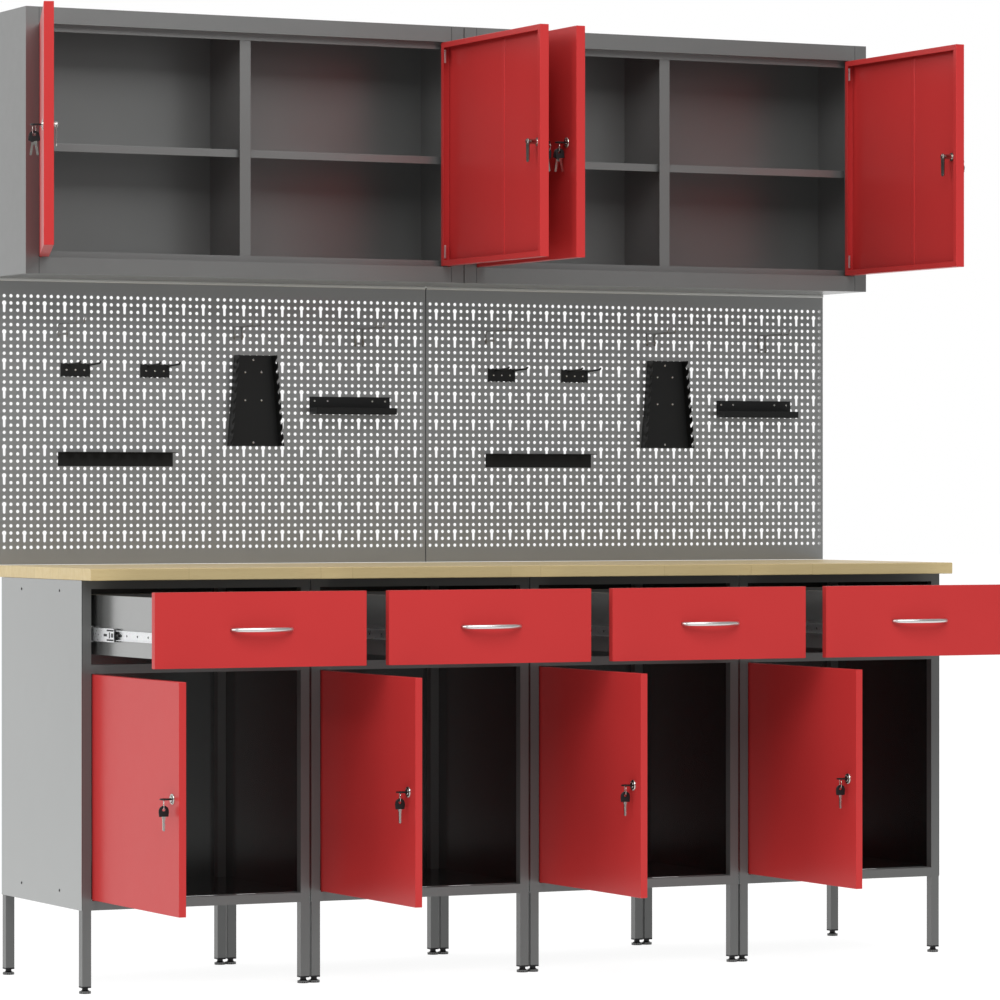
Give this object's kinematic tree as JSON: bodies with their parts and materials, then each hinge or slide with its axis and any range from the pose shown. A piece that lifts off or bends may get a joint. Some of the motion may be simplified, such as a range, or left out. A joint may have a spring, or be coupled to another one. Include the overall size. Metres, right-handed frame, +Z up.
{
  "type": "workbench with drawers",
  "caption": "Garage workbench with sliding drawers and hinged doors below a wooden top, perforated tool boards with racks, and lockable wall cabinets above.",
  "frame": {"origin": "on the floor, in the middle of the rectangle that the set covers with its drawers and doors open", "axes": "+X along the set, to the right when facing it; +Y from the front to the wall; +Z up"},
  "size_m": [2.1388, 0.965, 1.995],
  "materials": {
    "frame_paint": "dark grey powder coat, fine texture, satin",
    "panel_paint": "light grey powder coat, satin",
    "cabinet_paint": "mid grey powder coat, satin",
    "board_paint": "warm grey powder coat, satin",
    "red_paint": "red powder coat, semi-gloss",
    "beech": "pale varnished beech, satin",
    "zinc": "bright zinc plating",
    "satin_steel": "satin nickel",
    "black_paint": "black powder coat, satin",
    "lock_steel": "polished nickel plating",
    "black_plastic": "moulded black plastic, matt"
  },
  "bodies": {
    "bench": {"frame_1": "frame_paint", "carcass_1": "panel_paint", "worktop_1": "beech", "frame_2": "frame_paint", "carcass_2": "panel_paint", "worktop_2": "beech", "frame_3": "frame_paint", "carcass_3": "panel_paint", "worktop_3": "beech", "frame_4": "frame_paint", "carcass_4": "panel_paint", "worktop_4": "beech", "tool_board_1": "board_paint", "wrench_rack_1": "black_paint", "tool_rack_1": "black_paint", "tool_shelf_1": "black_paint", "wall_cabinet_1": "cabinet_paint", "cabinet_shelves_1": "cabinet_paint", "tool_board_2": "board_paint", "wrench_rack_2": "black_paint", "tool_rack_2": "black_paint", "tool_shelf_2": "black_paint", "wall_cabinet_2": "cabinet_paint", "cabinet_shelves_2": "cabinet_paint"},
    "drawer_1": {"drawer_box_1": "panel_paint", "drawer_front_1": "red_paint", "drawer_handle_1": "satin_steel"},
    "slides_1": {"slide_left_1": "zinc", "slide_right_1": "zinc"},
    "door_1": {"door_1": "red_paint"},
    "door_lock_1": {"door_lock_1": "lock_steel"},
    "drawer_2": {"drawer_box_2": "panel_paint", "drawer_front_2": "red_paint", "drawer_handle_2": "satin_steel"},
    "slides_2": {"slide_left_2": "zinc", "slide_right_2": "zinc"},
    "door_2": {"door_2": "red_paint"},
    "door_lock_2": {"door_lock_2": "lock_steel"},
    "drawer_3": {"drawer_box_3": "panel_paint", "drawer_front_3": "red_paint", "drawer_handle_3": "satin_steel"},
    "slides_3": {"slide_left_3": "zinc", "slide_right_3": "zinc"},
    "door_3": {"door_3": "red_paint"},
    "door_lock_3": {"door_lock_3": "lock_steel"},
    "drawer_4": {"drawer_box_4": "panel_paint", "drawer_front_4": "red_paint", "drawer_handle_4": "satin_steel"},
    "slides_4": {"slide_left_4": "zinc", "slide_right_4": "zinc"},
    "door_4": {"door_4": "red_paint"},
    "door_lock_4": {"door_lock_4": "lock_steel"},
    "cabinet_door_left_1": {"cabinet_door_left_1": "red_paint"},
    "cabinet_lock_left_1": {"cabinet_lock_left_1": "lock_steel"},
    "cabinet_door_right_1": {"cabinet_door_right_1": "red_paint"},
    "cabinet_lock_right_1": {"cabinet_lock_right_1": "lock_steel"},
    "cabinet_door_left_2": {"cabinet_door_left_2": "red_paint"},
    "cabinet_lock_left_2": {"cabinet_lock_left_2": "lock_steel"},
    "cabinet_door_right_2": {"cabinet_door_right_2": "red_paint"},
    "cabinet_lock_right_2": {"cabinet_lock_right_2": "lock_steel"}
  },
  "joints": [
    {"name": "drawer_slide_1", "type": "slide", "parent": "bench", "child": "drawer_1", "axis": [0, -1, 0], "range_m": [-0.324, 0.026]},
    {"name": "middle_slide_1", "type": "slide", "parent": "bench", "child": "slides_1", "axis": [0, -1, 0], "range_m": [-0.162, 0.013]},
    {"name": "door_hinge_1", "type": "hinge", "parent": "bench", "child": "door_1", "pos_m": [-0.90313, -0.0345, 0.41075], "axis": [0, 0, 1], "range_deg": [-25, 90]},
    {"name": "door_lock_turn_1", "type": "hinge", "parent": "door_1", "child": "door_lock_1", "pos_m": [-0.90613, -0.4495, 0.41075], "axis": [-1, 0, 0], "range_deg": [0, 90]},
    {"name": "drawer_slide_2", "type": "slide", "parent": "bench", "child": "drawer_2", "axis": [0, -1, 0], "range_m": [-0.324, 0.026]},
    {"name": "middle_slide_2", "type": "slide", "parent": "bench", "child": "slides_2", "axis": [0, -1, 0], "range_m": [-0.162, 0.013]},
    {"name": "door_hinge_2", "type": "hinge", "parent": "bench", "child": "door_2", "pos_m": [-0.40313, -0.0345, 0.41075], "axis": [0, 0, 1], "range_deg": [-25, 90]},
    {"name": "door_lock_turn_2", "type": "hinge", "parent": "door_2", "child": "door_lock_2", "pos_m": [-0.40613, -0.4495, 0.41075], "axis": [-1, 0, 0], "range_deg": [0, 90]},
    {"name": "drawer_slide_3", "type": "slide", "parent": "bench", "child": "drawer_3", "axis": [0, -1, 0], "range_m": [-0.324, 0.026]},
    {"name": "middle_slide_3", "type": "slide", "parent": "bench", "child": "slides_3", "axis": [0, -1, 0], "range_m": [-0.162, 0.013]},
    {"name": "door_hinge_3", "type": "hinge", "parent": "bench", "child": "door_3", "pos_m": [0.09687, -0.0345, 0.41075], "axis": [0, 0, 1], "range_deg": [-25, 90]},
    {"name": "door_lock_turn_3", "type": "hinge", "parent": "door_3", "child": "door_lock_3", "pos_m": [0.09387, -0.4495, 0.41075], "axis": [-1, 0, 0], "range_deg": [0, 90]},
    {"name": "drawer_slide_4", "type": "slide", "parent": "bench", "child": "drawer_4", "axis": [0, -1, 0], "range_m": [-0.324, 0.026]},
    {"name": "middle_slide_4", "type": "slide", "parent": "bench", "child": "slides_4", "axis": [0, -1, 0], "range_m": [-0.162, 0.013]},
    {"name": "door_hinge_4", "type": "hinge", "parent": "bench", "child": "door_4", "pos_m": [0.59687, -0.0345, 0.41075], "axis": [0, 0, 1], "range_deg": [-25, 90]},
    {"name": "door_lock_turn_4", "type": "hinge", "parent": "door_4", "child": "door_lock_4", "pos_m": [0.59387, -0.4495, 0.41075], "axis": [-1, 0, 0], "range_deg": [0, 90]},
    {"name": "cabinet_hinge_left_1", "type": "hinge", "parent": "bench", "child": "cabinet_door_left_1", "pos_m": [-0.89563, 0.2755, 1.721], "axis": [0, 0, 1], "range_deg": [-5, 110]},
    {"name": "cabinet_lock_turn_left_1", "type": "hinge", "parent": "cabinet_door_left_1", "child": "cabinet_lock_left_1", "pos_m": [-1.04176, -0.11721, 1.721], "axis": [-0.9397, 0.342, 0], "range_deg": [0, 90]},
    {"name": "cabinet_hinge_right_1", "type": "hinge", "parent": "bench", "child": "cabinet_door_right_1", "pos_m": [0.03437, 0.2755, 1.721], "axis": [0, 0, 1], "range_deg": [-90, 0]},
    {"name": "cabinet_lock_turn_right_1", "type": "hinge", "parent": "cabinet_door_right_1", "child": "cabinet_lock_right_1", "pos_m": [0.03737, -0.1435, 1.721], "axis": [-1, 0, 0], "range_deg": [0, 90]},
    {"name": "cabinet_hinge_left_2", "type": "hinge", "parent": "bench", "child": "cabinet_door_left_2", "pos_m": [0.10437, 0.2755, 1.721], "axis": [0, 0, 1], "range_deg": [0, 90]},
    {"name": "cabinet_lock_turn_left_2", "type": "hinge", "parent": "cabinet_door_left_2", "child": "cabinet_lock_left_2", "pos_m": [0.10137, -0.1435, 1.721], "axis": [-1, 0, 0], "range_deg": [0, 90]},
    {"name": "cabinet_hinge_right_2", "type": "hinge", "parent": "bench", "child": "cabinet_door_right_2", "pos_m": [1.03437, 0.2755, 1.721], "axis": [0, 0, 1], "range_deg": [-90, 25]},
    {"name": "cabinet_lock_turn_right_2", "type": "hinge", "parent": "cabinet_door_right_2", "child": "cabinet_lock_right_2", "pos_m": [1.03737, -0.1435, 1.721], "axis": [-1, 0, 0], "range_deg": [0, 90]}
  ],
  "couplings": [
    {"joint": "middle_slide_1", "follows": "drawer_slide_1", "ratio": 0.5},
    {"joint": "middle_slide_2", "follows": "drawer_slide_2", "ratio": 0.5},
    {"joint": "middle_slide_3", "follows": "drawer_slide_3", "ratio": 0.5},
    {"joint": "middle_slide_4", "follows": "drawer_slide_4", "ratio": 0.5}
  ]
}
